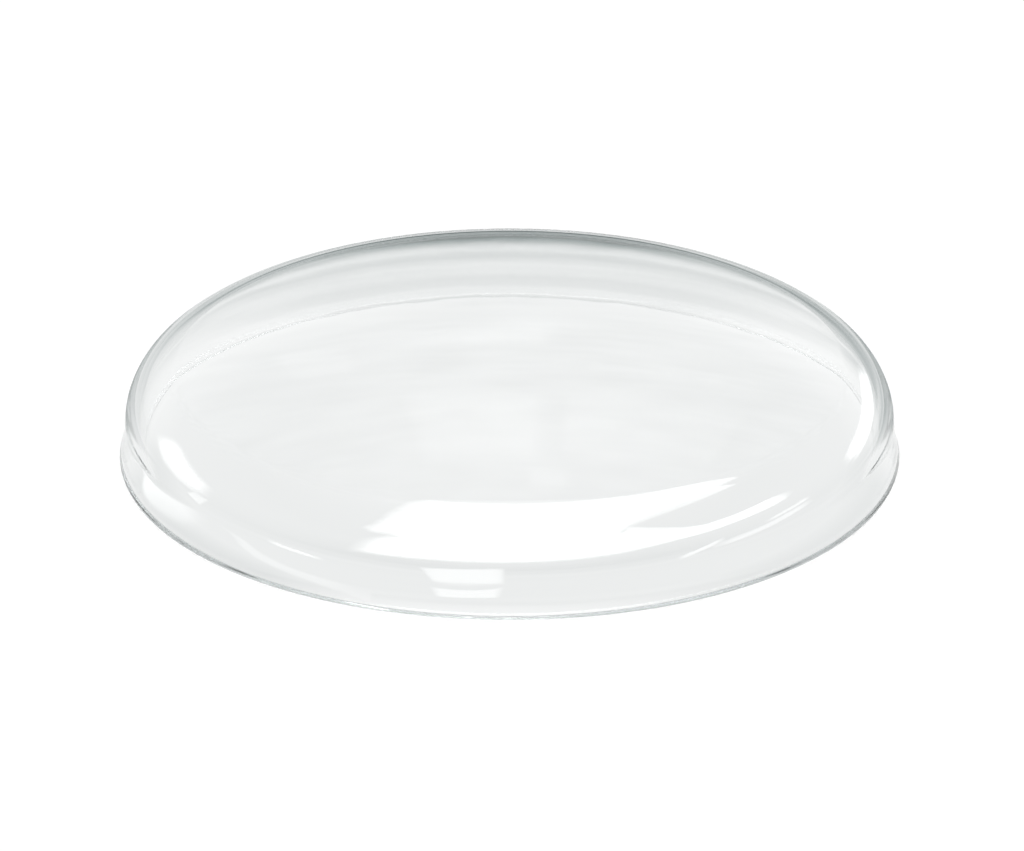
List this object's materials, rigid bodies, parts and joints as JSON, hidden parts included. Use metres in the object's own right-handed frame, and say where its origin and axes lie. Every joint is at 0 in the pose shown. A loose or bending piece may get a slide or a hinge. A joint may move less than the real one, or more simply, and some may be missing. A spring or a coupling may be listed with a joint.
{
  "type": "watch glass",
  "caption": "Round clear watch glass lying dome up: low crown, rounded shoulder and a short wall that flares into a fire-polished lip with a narrow flat seat.",
  "frame": {"origin": "centre of the circular seat under the lip, on the surface that the glass lies on", "axes": "+Z along the axis of revolution, from the seat to the top of the crown; X and Y are alike"},
  "size_m": [0.1, 0.1, 0.017],
  "materials": {
    "glass": "clear, polished, faint green-grey cast at the edges"
  },
  "bodies": {
    "root": {"watch_glass": "glass"}
  },
  "joints": []
}
